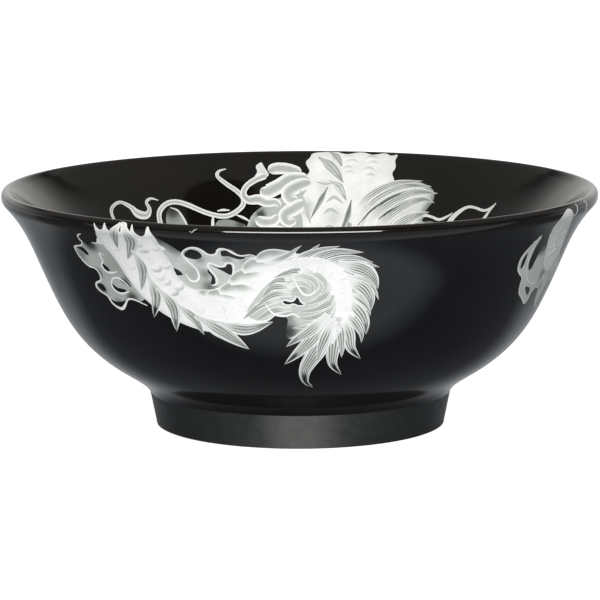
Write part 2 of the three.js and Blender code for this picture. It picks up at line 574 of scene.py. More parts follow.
def filling(loops, step):
    """Points and triangles that fill the first loop and leave the other loops open."""
    rims = np.vstack(loops)
    low, high = loops[0].min(0), loops[0].max(0)
    columns, rows = (np.arange(low[i], high[i], step * 1.2) for i in (0, 1))
    grid = np.stack(np.meshgrid(columns, rows), -1).reshape(-1, 2)
    gap = np.linalg.norm(grid[:, None] - rims[None], axis=2).min(1)
    grid = grid[(gap > step * 0.6) & inside_loop(grid, loops[0])]
    edges = []
    start = 0
    for loop in loops:
        edges += [(start + i, start + (i + 1) % len(loop)) for i in range(len(loop))]
        start += len(loop)
    points = [Vector(p) for p in np.vstack([rims, grid])]
    made = delaunay_2d_cdt(points, edges, [], 0, 1e-5)
    sheet = np.array([tuple(p) for p in made[0]])
    triangles = np.array(made[2])
    centres = sheet[triangles].mean(1)
    kept = inside_loop(centres, loops[0])
    for hole in loops[1:]:
        kept &= ~inside_loop(centres, hole)
    used, triangles = np.unique(triangles[kept], return_inverse=True)
    return sheet[used], triangles.reshape(-1, 3)


def blob(outline, holes=(), *, tone, edge_tone=None, shade=(), step=1.1, sharp=False):
    """A filled shape with holes. Its tone drifts from edge_tone at its edge to tone inside, and each
    (u, v, radius, depth) in shade darkens it like a puff of the airbrush. tone may be a function
    of the points. sharp keeps the outline's sides straight."""
    loops = [np.array(outline, float) if sharp else curve(outline, step, closed=True)]
    loops += [curve(hole, step * 0.6, closed=True) for hole in holes]
    sheet, triangles = filling(loops, step)
    tones = tone(sheet) if callable(tone) else np.full(len(sheet), float(tone))
    if edge_tone is not None:
        depth = np.linalg.norm(sheet[:, None] - np.vstack(loops)[None], axis=2).min(1)
        tones = edge_tone + (tone - edge_tone) * smooth(depth, 0.2, 2.8)
    for u, v, radius, dark in shade:
        away = np.hypot(sheet[:, 0] - u, sheet[:, 1] - v)
        tones = tones * (1 - dark * (1 - smooth(away, 0, radius)))
    flat = np.zeros(len(sheet))
    return {
        "sheet": sheet,
        "faces": triangles.tolist(),
        "tone": tones,
        "cut": flat,
        "hatch": flat,
    }


def leaf(points, width, lines, open_tip=0.0, *, fill, root=0.25, root_tone=1.0, cut):
    """A pointed blade from its root to its tip: two white edges with the tone fill between them and
    lines scratched along it. open_tip is how dark it goes between the edges near the tip, and root
    is the share of its width that it starts with."""
    spine = np.array(points, float)
    share = np.linspace(0, 1, len(spine))
    dense = curve(np.column_stack([spine, share]), 0.8)
    t = np.linspace(0, 1, len(dense))
    swell = root + (1 - root) * smooth(t, 0, 0.45)
    widths = width * swell * np.clip(1 - t**2.4, 0, 1) ** 0.9
    swept = [(u, v, w) for (u, v, _), w in zip(dense, widths)]

    def tone(far, side):
        middle = root_tone + (fill - root_tone) * smooth(far, 0.1, 0.55)
        edge = smooth(abs(side), 0.55, 0.8)
        gap = smooth(far, 0.68, 0.8) * (1 - smooth(abs(side), 0.35, 0.6))
        return (middle + (0.95 - middle) * edge) * (1 - open_tip * gap)

    def depth(far, side):
        return cut * smooth(far, 0.15, 0.4) * (1 - smooth(abs(side), 0.7, 0.9))

    return ribbon(swept, tone, lines, depth, step=0.8)


def leaves(rows, **look):
    """Leaves that look alike, one for each row of points, width, lines and, if it differs, open_tip."""
    return [leaf(*row, **look) for row in rows]


def traced(points, width, tone, closed=False):
    """A line of one width through (u, v) points."""
    return ribbon([(u, v, width) for u, v in points], tone, closed=closed)


def band(left, right, tone):
    """A stroke between two edges that run the same way."""
    step = 1.0
    widest_face = 1.1
    count = round(max(len(curve(left, step)), len(curve(right, step))))
    edges = []
    for edge in (right, left):
        line = curve(edge, step / 2)
        places = np.linspace(0, len(line) - 1, count)
        given = np.arange(len(line))
        edges.append(np.column_stack([np.interp(places, given, line[:, i]) for i in (0, 1)]))
    span = np.linalg.norm(edges[0] - edges[1], axis=1).max()
    cells = max(2, math.ceil(span / widest_face))
    return grid_stroke(edges[0], edges[1], cells, tone, lines=0, cut=0.0)


def closed_faces(top, count):
    """The faces of a closed stroke: its top, the same faces underneath, and its sides. Point i of
    the top is point count + i underneath."""
    faces = []
    sides = {}
    for face in top:
        faces.append(face)
        faces.append([count + p for p in reversed(face)])
        for p, q in zip(face, face[1:] + face[:1]):
            if (q, p) in sides:
                del sides[(q, p)]
            else:
                sides[(p, q)] = True
    return faces + [(q, p, count + p, count + q) for p, q in sides]


def enamel_piece(name, panel, lift, strokes, rise=0.005):
    """Strokes as one piece of enamel. The first stands lift millimetres off the glaze, and each of
    the others rises a little above the one before."""
    points, faces, values = [], [], {"tone": [], "cut": [], "hatch": []}
    start = 0
    for i, stroke in enumerate(strokes):
        top = panel.lay(stroke["sheet"], lift + i * rise)
        points += [top, panel.lay(stroke["sheet"], -fused)]
        for face in closed_faces(stroke["faces"], len(top)):
            faces.append(tuple(start + p for p in face))
        for key in values:
            values[key] += [stroke[key], stroke[key]]
        start += 2 * len(top)
    obj = mesh_object(name, np.vstack(points), faces, white_enamel)
    for key, parts in values.items():
        layer = obj.data.attributes.new(key, "FLOAT", "POINT")
        layer.data.foreach_set("value", np.concatenate(parts).astype(np.float32))
    return ride_and_name(obj, panel.node)


def crescent(middle, heading, size, tone):
    """The shadow that the airbrush left under one scale: dark along its outer edge."""
    sideways = np.array([-heading[1], heading[0]])
    arc = []
    for turn in np.linspace(-1.35, 1.35, 7):
        point = middle + (heading * math.cos(turn) + sideways * math.sin(turn)) * size * 0.7
        arc.append((*point, size * 0.62 * math.cos(turn) + 0.1))

    def shading(far, side):
        return 0.99 - (1 - tone) * smooth(-side, -0.9, 0.7) * np.sin(np.pi * np.clip(far, 0, 1))

    return ribbon(arc, shading, step=0.5)


def scale_marks(spine, rows, columns, size, tone):
    """Crescents in staggered rows along a body's (u, v, width) spine, with some left out."""
    left_out = 0.2
    line = curve(spine, 1.0)
    marks = []
    for row in range(rows):
        at = int((row + 0.8) / (rows + 1) * (len(line) - 2)) + 1
        u, v, width = line[at]
        heading = line[min(at + 1, len(line) - 1)][:2] - line[at - 1][:2]
        heading /= np.linalg.norm(heading)
        sideways = np.array([-heading[1], heading[0]])
        for column in columns:
            if chance.random() < left_out:
                continue
            middle = np.array([u, v]) + sideways * width * (column + 0.08 * (row % 2)) / 2
            own_size = size * chance.uniform(0.8, 1.15)
            own_tone = tone + chance.uniform(-0.06, 0.06)
            marks.append(crescent(middle, heading, own_size, own_tone))
    return marks


def plate_tone(far, side):
    """A belly plate: a white edge, grey just under it, and white again further in."""
    grey = 0.4 * smooth(side, -0.7, 0.5) * (1 - smooth(side, 0.74, 0.86))
    return 0.97 - grey * smooth(far, 0, 0.15) * (1 - smooth(far, 0.55, 1))


def skin_tone(far, side):
    """White, greyer at the very edges."""
    return 0.97 - 0.12 * smooth(abs(side), 0.8, 1.0)


def lip_shaded_skin(sheet):
    """White on the wall and greyer on the lip: painted shade that evens out the stronger light falling
    on the lip.
    """
    lip_start, lip_shade_end = 84, 86
    return 0.97 - 0.12 * smooth(sheet[:, 1], lip_start, lip_shade_end)


# ---------- The print on the front: body, flames and feathered tail ----------

flame = [
    (-34, 84), (-37.6, 81.6), (-40, 80.2), (-42, 80.4), (-44.3, 79), (-46.7, 79.8), (-48.2, 78.2),
    (-51.8, 77.2), (-52.5, 75), (-51.4, 71.6), (-49, 69.5), (-46.3, 69), (-45, 67), (-45.6, 64.5),
    (-48.6, 63), (-49.2, 61), (-47.4, 59.6), (-45, 58.4), (-44, 56), (-42, 54.4), (-39.6, 54.2),
    (-37.4, 56), (-35.4, 58), (-32.6, 58.4), (-29.6, 58.2), (-26.5, 61.5), (-28, 72),
]
flame_holes = [
    [(-51.2, 77), (-47.8, 77.4), (-46.4, 74.8), (-47.8, 74.2), (-49.6, 75.8)],
    [(-42.2, 71.6), (-40.6, 71), (-39.2, 69), (-41.4, 68.8), (-42.4, 70.4)],
    [(-48.4, 62.6), (-45.6, 63), (-44.6, 60.6), (-47.2, 60.4)],
    [(-40.6, 64.2), (-38.8, 62.6), (-35, 62), (-36.2, 60.9), (-39.2, 60.9), (-40.7, 62.4)],
    [(-37, 66.4), (-34.4, 66.2), (-32, 63.4), (-34.8, 64.4)],
    [
        (-44, 57.2), (-41.2, 56.6), (-38, 57.2), (-36, 58.4), (-37.8, 55.9), (-40, 54.7),
        (-42.4, 55.2),
    ],
]
flame_puffs = [
    (-43.5, 79.5, 4.5, 0.95), (-45.5, 67.5, 3, 0.7), (-46, 61, 3, 0.5), (-33, 59, 4, 0.8),
    (-33, 66, 3, 0.4), (-50.6, 74, 3.5, 0.3), (-40, 56, 3, 0.5), (-36, 72, 9, 0.16),
]
flame_lines = [
    [
        (-44.6, 83.9, 0.3), (-46.6, 83, 0.6), (-47, 81.2, 0.5), (-46.6, 79.8, 0.5),
        (-48.2, 78.2, 0.5), (-51.8, 77.2, 0.6), (-52.5, 75, 0.5), (-51.4, 71.6, 0.6),
        (-49, 69.5, 0.6), (-46.3, 69, 0.6), (-45, 67, 0.6), (-45.6, 64.5, 0.6), (-48.6, 63, 0.7),
        (-49.2, 61, 0.6), (-47.4, 59.6, 0.6), (-45, 58.4, 0.6), (-44, 56, 0.7), (-42, 54.4, 0.9),
        (-39.6, 54.1, 1.2), (-37.4, 56, 0.9), (-35.4, 58.2, 0.7), (-32.6, 58.5, 0.6),
        (-27.6, 56.6, 0.3),
    ],
    [(-42, 80.4, 0.2), (-40, 80.3, 0.5), (-37.6, 81.8, 0.5), (-36.4, 81.4, 0.2)],
    [
        (-39.4, 75.2, 0.2), (-41, 76, 0.5), (-41.2, 74.4, 0.5), (-41, 72.6, 0.5),
        (-42.4, 70.7, 0.6), (-41.5, 68.6, 0.7), (-39.2, 68.1, 0.7), (-36, 69, 0.2),
    ],
    [
        (-33, 63.6, 0.3), (-35.9, 66.1, 0.6), (-38.6, 66.3, 0.6), (-40.3, 64.7, 0.5),
        (-40.9, 62.4, 0.6), (-39.2, 60.6, 0.7), (-36.5, 60.4, 0.7), (-33.6, 61.6, 0.3),
    ],
]
enamel_piece(
    "front_flame", front, 0.02,
    [blob(flame, flame_holes, tone=0.62, shade=flame_puffs, step=0.8)],
)
enamel_piece("front_flame_lines", front, 0.04, [ribbon(line, 0.95) for line in flame_lines])

cloud = [
    (-17, 86), (-12, 82.5), (-9, 79.5), (-6, 82), (-2.5, 81.5), (-0.5, 79.3), (1.8, 79.5), (3, 82),
    (6, 82), (9.5, 79), (14, 79), (12, 74), (8, 68), (0, 63), (-8, 63), (-14, 66), (-19, 74),
]
cloud_holes = [
    [(-8.4, 79.2), (-6, 81.3), (-3.6, 80.4), (-3, 78.2), (-5.2, 76.9), (-8, 77.6)],
    [(-14.2, 72.8), (-12, 72), (-10.8, 70.2), (-13.2, 70)],
    [
        (-0.6, 75.2), (1.2, 74), (3.6, 74.1), (4.6, 75.4), (5.8, 75.2), (5.9, 72.8), (5.2, 71),
        (2.6, 72.6), (0.4, 74),
    ],
    [(-2, 73), (-0.8, 72), (-0.2, 69.2), (-0.5, 67.2), (-1.8, 67.2), (-1.2, 70), (-2.1, 71.6)],
    [(3.4, 81), (5.6, 81.4), (7.8, 79.4), (10.6, 78.6), (8.4, 77.6), (5.4, 78.8), (3.4, 78.8)],
]
cloud_puffs = [
    (-14.6, 86, 6.5, 0.8), (-10.6, 81.6, 5, 0.6), (-7, 70, 7, 0.16), (-2.4, 66, 4, 0.6),
    (-2.8, 71, 3, 0.4), (-4, 77, 3, 0.35), (5, 77.6, 3, 0.3), (10, 77, 3, 0.3),
]
cloud_lines = [
    [
        (-9.8, 70.6, 0.2), (-8.6, 68.1, 0.6), (-6.6, 68, 0.7), (-5.4, 69.8, 0.7),
        (-5.8, 72.8, 0.6), (-8.2, 76.4, 0.6), (-9.2, 79, 0.5), (-7.2, 81.4, 0.6),
        (-4.4, 82.3, 0.6), (-2.4, 81, 0.6), (-0.8, 79.3, 0.6), (1.5, 79.6, 0.6), (2.8, 82, 0.6),
        (4.8, 82.1, 0.6), (7.3, 80, 0.6), (9.4, 79.2, 0.5), (12, 79.8, 0.4), (13.6, 79.2, 0.2),
    ],
    [
        (-1.6, 66.6, 0.3), (0.2, 67.4, 0.6), (0.3, 69.8, 0.6), (-1.6, 73.4, 0.6),
        (-1.2, 75.6, 0.7), (1.3, 74.6, 0.6), (3.2, 74.4, 0.5), (4.3, 75.9, 0.5), (6.2, 75.7, 0.6),
        (6.3, 73, 0.6), (5.3, 70.2, 0.3),
    ],
]
rim_tick = [(-4.8, 89.2, 0.2), (-4.2, 88.7, 0.3), (-3.4, 89.6, 0.35), (-2.6, 90, 0.2)]
enamel_piece(
    "front_cloud", front, 0.02,
    [blob(cloud, cloud_holes, tone=0.69, edge_tone=0.72, shade=cloud_puffs, step=0.8)],
)
enamel_piece(
    "front_cloud_lines", front, 0.04,
    [ribbon(line, 0.95) for line in cloud_lines] + [ribbon(rim_tick, 0.55)],
)

body_left = [
    (-37.6, 85), (-37.6, 81), (-35, 74), (-32, 66), (-27, 58.5), (-19, 52.5), (-8, 48.5),
    (1, 48.2), (9, 49.6), (15, 52.6), (19.5, 56.5), (24, 60.5), (31, 62), (36, 57), (36, 48),
    (34.5, 41),
]
body_right = [
    (-15.8, 85), (-15.8, 81), (-14, 75), (-12.5, 68.5), (-8, 64.8), (-2, 65), (4, 68), (10, 74.5),
    (17, 79.2), (25, 80.6), (32, 79), (38.5, 75), (43.5, 68.5), (45.3, 60), (44.5, 50), (41, 41),
]
# The print is cut into spikes where it meets the lip.
spikes = [
    (-37.6, 80), (-37.6, 84), (-36.8, 87), (-37, 89.6), (-35.9, 88), (-34.6, 87.4), (-33.6, 88),
    (-33, 90), (-31.9, 87.8), (-29.8, 86.6), (-27.8, 87.2), (-26.4, 88.4), (-25.2, 90.6),
    (-24.6, 88), (-23.8, 87.8), (-23.2, 90.4), (-22.4, 87.8), (-20.6, 86.2), (-19, 87.2),
    (-18, 90), (-17, 88.2), (-16, 86), (-15.8, 83), (-15.8, 80),
]
enamel_piece(
    "front_body", front, 0.05,
    [blob(spikes, tone=lip_shaded_skin, step=0.55), band(body_left, body_right, skin_tone)],
)
spine = [
    (-26.5, 87, 21), (-26, 80, 21), (-22, 68, 19), (-15, 59, 15), (-6, 57, 15), (4, 60, 15),
    (12, 66, 15), (20, 71.5, 14), (30, 73, 12),
]
enamel_piece(
    "front_scales", front, 0.068,
    scale_marks(spine[:4], 7, (0.3, 0.7), 2.9, 0.71)
    + scale_marks(spine, 11, (-0.15, -0.6), 2.1, 0.84),
    rise=0.0,
)

plates = [
    [(-7.4, 63.4, 2), (-2, 62.4, 4.5), (3.4, 59.4, 1.5)],
    [(-4.2, 62.8, 2), (1, 63, 5), (7, 60.6, 2)],
    [(0.4, 64.2, 2), (6, 65.6, 6), (13, 64.8, 2)],
    [(4.4, 67.8, 2), (9.4, 70.6, 6), (16, 71.2, 2)],
    [(9, 72.6, 2), (13.8, 75.6, 6), (22, 76, 2)],
    [(13.4, 77.4, 2), (18.4, 79.6, 6), (25.6, 80.2, 2)],
]
enamel_piece("front_belly", front, 0.07, [ribbon(plate, plate_tone) for plate in plates])

back_fins = [
    ([(-27.2, 90.4), (-30.2, 85.6), (-31.9, 79)], 4.0, 3, 0.2),
    ([(-26.4, 91), (-25.2, 83), (-29.7, 74.6)], 5.8, 4, 0.0),
    ([(-26.5, 79), (-25, 71.4), (-28.1, 62.6)], 4.8, 3, 0.0),
    ([(-23.9, 69.4), (-22.6, 61.4), (-26.1, 52.2)], 5.4, 3, 0.98),
    ([(-21.3, 64.6), (-17.2, 57.2), (-18.2, 47.4)], 6.2, 4, 0.5),
    ([(-15.4, 58.4), (-10.2, 53.2), (-7.6, 46.8)], 4.6, 3, 0.2),
    ([(-9.6, 54.4), (-1, 48.8), (8.2, 41.6)], 7.2, 5, 0.2),
    ([(-2, 52.4), (7.6, 49.8), (17.6, 53)], 5.6, 4, 0.3),
]
enamel_piece("front_fins", front, 0.08, leaves(back_fins, fill=0.64, root_tone=0.78, cut=0.45))

tail_haze = [
    (9, 56), (14, 53.5), (19, 56), (22.5, 54.5), (22, 50), (22.5, 46.5), (27, 47), (33, 50),
    (41, 54), (46, 62), (43, 71), (36, 76), (28, 74), (20, 71), (13.5, 64),
]
hole = [
    (20.9, 61.3), (22, 61.7), (23.6, 61.2), (24.8, 61.6), (25.3, 62.8), (26.3, 62.8), (27, 61),
    (28.4, 59.8), (26.2, 59.5), (24.6, 60.2), (23, 59.7), (21.4, 60.2),
]
haze_puffs = [(22, 49, 6.5, 0.95), (23, 55, 3, 0.4), (27, 67, 5, 0.2)]
enamel_piece(
    "tail_haze", front, 0.075,
    [blob(tail_haze, tone=0.68, shade=haze_puffs)],
)

# Locks of hair: those that fan out to the left, those that curl over, and those that sweep down.
fanned_locks = [
    [(20.5, 62), (14, 59.6), (7.4, 53.8)],
    [(24, 58.2), (17.5, 57.2), (12, 53.4)],
    [(24, 64), (18, 63.6), (11.8, 58.4)],
    [(24.5, 66.4), (18.4, 66.6), (14.4, 62.4)],
    [(26.5, 69), (20, 69.4), (16.4, 66.8)],
    [(30.5, 71), (25.4, 73.2), (18.6, 70.4)],
]
curled_locks = [
    [(30, 73.5), (35.5, 71), (38, 65), (35.6, 60.6)],
    [(26, 72.6), (31.5, 71.8), (34.8, 67.4), (33.4, 63.2)],
    [(22, 69.5), (27, 71), (31, 69.2), (32, 66), (29.8, 63.2)],
    [(23, 66.6), (26.4, 68.2), (29.4, 67), (29.4, 64.4)],
]
swept_locks = [
    [(36, 68), (35, 64), (31.8, 61.2), (28, 60)],
    [(38, 66), (36.8, 61), (31.8, 58), (26.5, 57.2)],
    [(39, 63), (36.8, 57.5), (31.4, 54.8), (25, 54.4)],
    [(39.5, 60), (36.8, 54.4), (31, 51.6), (24, 50.6)],
    [(40, 57), (36.4, 51), (30, 48.2), (22.6, 46.4)],
]
bright_strands = [
    [(24.3, 71.5, 0.3), (26, 67, 0.6), (28, 63.8, 0.8), (30.6, 64, 0.6), (32.6, 66.5, 0.2)],
    [(15.5, 60, 0.3), (17.8, 56.4, 0.7), (21.5, 55.4, 0.7), (24.5, 56.2, 0.6), (26.8, 54.6, 0.2)],
]
enamel_piece(
    "tail_hair", front, 0.085,
    [leaf(lock, 3.2, 4, fill=0.7, root=0.6, root_tone=0.75, cut=0.6) for lock in fanned_locks]
    + [leaf(lock, 3.4, 4, fill=0.72, root=0.5, root_tone=0.8, cut=0.5) for lock in swept_locks]
    + [leaf(lock, 3.0, 3, fill=0.76, root=0.5, root_tone=0.85, cut=0.35) for lock in curled_locks]
    + [blob(hole, tone=0.0, step=0.6), traced(hole, 0.5, 0.9, closed=True)]
    + [ribbon(strand, 0.95) for strand in bright_strands],
)

tail_blades = [
    ([(16, 76), (22.6, 79.4), (27.2, 84.4)], 2.4, 3, 0.0),
    ([(20, 76), (28, 79.4), (32.4, 85)], 3.0, 3, 0.0),
    ([(23, 76), (31.5, 81.6), (38, 83.8)], 3.6, 4, 0.0),
    ([(27, 76), (36.5, 81.2), (45.4, 80.6)], 4.0, 4, 0.0),
    ([(31, 75.5), (41, 78.4), (49, 76)], 3.4, 3, 0.2),
    ([(33, 75), (42, 76.6), (51.2, 74)], 3.4, 3, 0.2),
    ([(38, 76), (45.8, 73.4), (49.6, 69.8), (51.8, 65.4)], 6.4, 6, 0.15),
    ([(40, 71.4), (47, 68.8), (50.4, 65.4), (52.6, 61)], 2.6, 2, 0.0),
    ([(41, 69.4), (46.6, 66), (49.6, 61.6), (50.4, 57)], 5.6, 5, 0.2),
    ([(42, 64.6), (47, 60.6), (49.6, 57.4), (50.4, 54.8)], 2.6, 2, 0.0),
    ([(41.6, 62), (46.4, 57), (49, 52.4), (49.8, 47.4)], 5.0, 4, 0.5),
    ([(41.4, 57), (45.4, 52), (48, 48), (48.6, 44)], 3.4, 3, 0.4),
    ([(40, 56), (43.4, 47.6), (45, 42), (49.2, 37)], 5.6, 5, 0.97),
    ([(39, 54), (38.4, 43), (39, 35), (43, 29.4)], 6.0, 5, 0.97),
    ([(37.5, 54), (33.6, 43), (28.8, 33), (28.8, 26), (32, 22)], 7.6, 7, 0.98),
    ([(36.5, 55), (30, 45), (26, 40.4), (20.8, 35)], 6.2, 6, 0.85),
    ([(36, 56), (30, 49.4), (26, 46.6), (21.8, 43)], 5.0, 5, 0.4),
    ([(38, 54), (34.5, 44), (33, 36.4)], 4.6, 4, 0.0),
    ([(39.5, 55), (41.2, 46), (42, 38)], 4.2, 4, 0.0),
]
enamel_piece(
    "tail_blades", front, 0.1,
    leaves(tail_blades, fill=0.72, root=0.5, root_tone=0.86, cut=0.6),
)

tail_core = [
    (20, 75, 1.6), (27, 76.6, 4.6), (33.6, 75, 5.8), (39, 69, 6.2), (41, 60, 5.4), (40, 52, 3.6),
    (38, 44, 0.5),
]
core_spine = [(22, 75, 10), (31, 75, 10), (38, 71, 9), (40, 60, 8)]
enamel_piece(
    "tail_core", front, 0.19,
    [ribbon(tail_core, 0.95)] + scale_marks(core_spine, 5, (-0.3, 0.3), 2.2, 0.93),
)

# ---------- The print on the right: a foreleg and its claws ----------

claws = [
    (-5.4, 80), (-8.4, 76), (-10.6, 71.6), (-10.4, 67.8), (-8.6, 65.4), (-5.4, 63), (-4.6, 60),
    (-3.2, 56.8), (0.6, 54.2), (5, 51.4), (6.6, 52.4), (7.2, 55.2), (9.2, 57), (12.8, 56),
    (14.2, 54.6), (15.8, 51), (20, 47.6), (19.4, 51.6), (20.6, 56), (23.4, 58.6), (27, 56.6),
    (31.6, 52.6), (30, 58), (27.4, 63), (22, 68), (16, 73), (6, 74), (0.6, 74.6), (-0.6, 69),
    (-1.2, 65.8), (-3, 65.8), (-4.6, 69), (-5, 74), (-4.8, 78),
]
claw_gaps = [
    [(-8.8, 67), (-9.4, 70.6), (-8.2, 73.2), (-7.4, 70), (-7.6, 67.4)],
    [(0, 58.6), (3.4, 57.8), (5, 56), (4.2, 54.6), (1.6, 56.6)],
]
claw_lines = [
    [
        (-5.4, 80, 0.3), (-8.4, 76, 0.5), (-10.6, 71.6, 0.6), (-10.4, 67.8, 0.6),
        (-8.6, 65.4, 0.6), (-5.4, 63, 0.5), (-4.6, 60, 0.5), (-3.2, 56.8, 0.5), (0.6, 54.2, 0.6),
        (5, 51.4, 0.7), (6.6, 52.4, 0.6), (7.2, 55.2, 0.5), (9.2, 57, 0.4), (12.8, 56, 0.2),
    ],
    [
        (-5.4, 79.6, 0.3), (-6.4, 73.6, 0.5), (-5.2, 68.4, 0.5), (-2.4, 63.2, 0.5),
        (1.4, 60.2, 0.6), (5.8, 59, 0.6), (7.6, 61, 0.5), (6.6, 64.4, 0.2),
    ],
    [
        (12.8, 56, 0.3), (14.2, 54.6, 0.5), (15.8, 51, 0.5), (20, 47.6, 0.6), (19.4, 51.6, 0.6),
        (20.6, 56, 0.5), (23.4, 58.6, 0.5), (27, 56.6, 0.5), (31.6, 52.6, 0.6), (30, 58, 0.6),
        (27.4, 63, 0.5), (22, 68, 0.3),
    ],
    [(11, 61.4, 0.3), (14.4, 59.6, 0.6), (17.6, 60.4, 0.3)],
    [(18.6, 62.6, 0.3), (21.4, 62, 0.6), (24, 64, 0.3)],
]
claw_puffs = [(1, 74, 5, 0.8), (9.6, 62, 4, 0.4), (14, 56, 3, 0.3)]
enamel_piece(
    "foreleg_claws", right, 0.02,
    [blob(claws, claw_gaps, tone=0.67, shade=claw_puffs, step=0.8)]
    + [ribbon(line, 0.8) for line in claw_lines],
)
leg = [
    (0.5, 88.5), (3, 89.6), (6, 88.6), (9, 85.4), (12.6, 81.4), (16.6, 76.8), (19.6, 72),
    (20, 67.6), (18.6, 64), (15.6, 62.6), (11.4, 63.8), (8, 66.4), (4.6, 72), (2, 77), (-0.8, 82),
    (-1, 86.5),
]
leg_lines = [
    [
        (-1, 86, 0.3), (0.4, 79.6, 0.5), (4.6, 72, 0.5), (8, 66.4, 0.6), (12, 63.6, 0.5),
        (16, 62.8, 0.3),
    ],
    [(0.5, 88.4, 0.3), (3, 89.6, 0.6), (5.6, 89, 0.3)],
    [(9.4, 91, 0.2), (10, 88.6, 0.35), (9, 86.4, 0.2)],
    [(17, 91, 0.2), (18.4, 89, 0.35), (18, 87.2, 0.2)],
]
leg_spine = [(3, 87, 8), (8, 79, 12), (13, 69, 14)]
enamel_piece(
    "foreleg", right, 0.05,
    [blob(leg, tone=0.84, edge_tone=0.8, shade=[(12, 76, 6, 0.1)], step=0.8)]
    + [ribbon(line, 0.88) for line in leg_lines]
    + scale_marks(leg_spine, 6, (-0.4, 0.35), 2.6, 0.74),
)

# ---------- The print at the back: the body comes over the rim, dips and ends in a tuft ----------

back_mist = [
    (-33, 80), (-40, 79), (-46, 81), (-51, 77), (-49, 72), (-54, 68), (-52, 62), (-46, 61),
    (-44, 55), (-38, 52), (-33, 55), (-27, 52), (-24, 60), (-28, 72),
]
back_mist_holes = [
    [(-48, 77), (-44, 78), (-42, 74), (-46, 73)],
    [(-50, 67), (-46, 69), (-43, 65), (-47, 63.5)],
    [(-41, 62), (-36.5, 64), (-34, 59), (-38.5, 56)],
]
back_cloud = [
    (-2, 66), (4, 63.5), (10, 59), (18, 57), (27, 60), (34, 66), (32, 72), (26, 74), (22, 70.5),
    (18, 74), (12, 73), (9, 68.5), (4, 71),
]
back_cloud_holes = [
    [(13, 69), (17, 70.5), (20, 67), (16, 64.5)],
    [(24, 66), (27, 70.5), (30, 68.5), (27.5, 64.5)],
]
mist_puffs = [(-34, 60, 6, 0.5), (-44, 79, 5, 0.6)]
back_cloud_puffs = [(8, 62, 5, 0.5), (31, 64, 4, 0.4)]
enamel_piece(
    "back_clouds", back, 0.02,
    [
        blob(back_mist, back_mist_holes, tone=0.6, edge_tone=0.7, shade=mist_puffs),
        blob(back_cloud, back_cloud_holes, tone=0.66, edge_tone=0.74, shade=back_cloud_puffs),
    ],
)
enamel_piece(
    "back_cloud_lines", back, 0.04,
    [traced(back_mist[:13], 0.6, 0.95), traced(back_cloud[5:], 0.6, 0.95)]
    + [traced(gap, 0.5, 0.9, closed=True) for gap in back_mist_holes + back_cloud_holes],
)
back_outer = [
    (-36, 85), (-36.5, 78), (-35, 70), (-31, 61), (-24, 52), (-14, 44.5), (-2, 39.5), (12, 37.5),
    (26, 39.5), (38, 45), (47, 52.5), (54, 61), (58.5, 70),
]
back_inner = [
    (-3.5, 85), (-4, 78), (-4.5, 71), (-4, 64), (0, 57.5), (8, 53.5), (18, 53), (27, 55.5),
    (35, 60), (42, 65.5), (48, 70.5), (52.5, 74), (58.5, 70.6),
]
back_spikes = [
    (-36, 80), (-36, 85), (-35.4, 89.8), (-33.8, 87.4), (-31, 86.6), (-28.6, 87.6), (-27.6, 90),
    (-26, 87.4), (-22.6, 86.4), (-19.6, 87.6), (-18.4, 90.4), (-17, 87.4), (-14, 86.4),
    (-11.4, 87.4), (-10.2, 90), (-8.8, 87.4), (-6, 86.6), (-4.2, 87.6), (-3.6, 85), (-3.6, 80),
]
enamel_piece(
    "back_body", back, 0.05,
    [blob(back_spikes, tone=lip_shaded_skin, step=0.7), band(back_outer, back_inner, skin_tone)],
)
back_spine = [
    (-20, 86, 30), (-20, 78, 30), (-18.5, 66, 28), (-12, 55, 24), (0, 48, 17), (14, 45.5, 15),
    (28, 48, 14), (40, 55, 13), (48, 62, 10),
]
enamel_piece(
    "back_scales", back, 0.068,
    scale_marks(back_spine[:5], 9, (0.1, 0.4, 0.7), 2.6, 0.66)
    + scale_marks(back_spine[3:], 9, (0.0, 0.45), 2.2, 0.7),
    rise=0.0,
)
back_plates = [
    [(-14, 70, 2), (-7.5, 68.5, 7), (-4.5, 62, 2)],
    [(-12, 62.5, 2), (-5, 61, 7), (0, 56, 2)],
    [(-7, 56.5, 2), (1.5, 55, 7), (8, 51.5, 2)],
    [(0, 52, 2), (9.5, 51.5, 6.5), (17, 49.5, 2)],
    [(9, 50, 2), (18, 51.2, 6), (25.5, 50.5, 2)],
    [(17, 50.4, 2), (26, 53.6, 5.5), (33.5, 54, 2)],
]
enamel_piece("back_belly", back, 0.07, [ribbon(plate, plate_tone) for plate in back_plates])
back_fin_blades = [
    ([(-27, 86), (-31, 80), (-39, 76)], 5.0, 4, 0.2),
    ([(-28, 78), (-32, 70), (-39.5, 64)], 5.4, 4, 0.3),
    ([(-26, 69), (-28.5, 60), (-34, 51.5)], 5.6, 4, 0.6),
    ([(-22, 61), (-22, 51), (-25, 42.5)], 5.8, 4, 0.8),
    ([(-15, 53.5), (-12, 44), (-12.5, 35)], 6.0, 4, 0.6),
    ([(-6, 48.5), (0, 40), (2, 31)], 6.0, 4, 0.8),
    ([(5, 45.5), (13, 38.5), (17, 30.5)], 6.0, 4, 0.6),
    ([(17, 46), (26.5, 41), (32.5, 34)], 6.0, 4, 0.8),
    ([(28, 49), (38, 46), (45.5, 40)], 5.6, 4, 0.6),
    ([(36, 53), (46, 52), (55, 47.5)], 5.4, 4, 0.4),
]
enamel_piece("back_fins", back, 0.08, leaves(back_fin_blades, fill=0.62, cut=0.7))
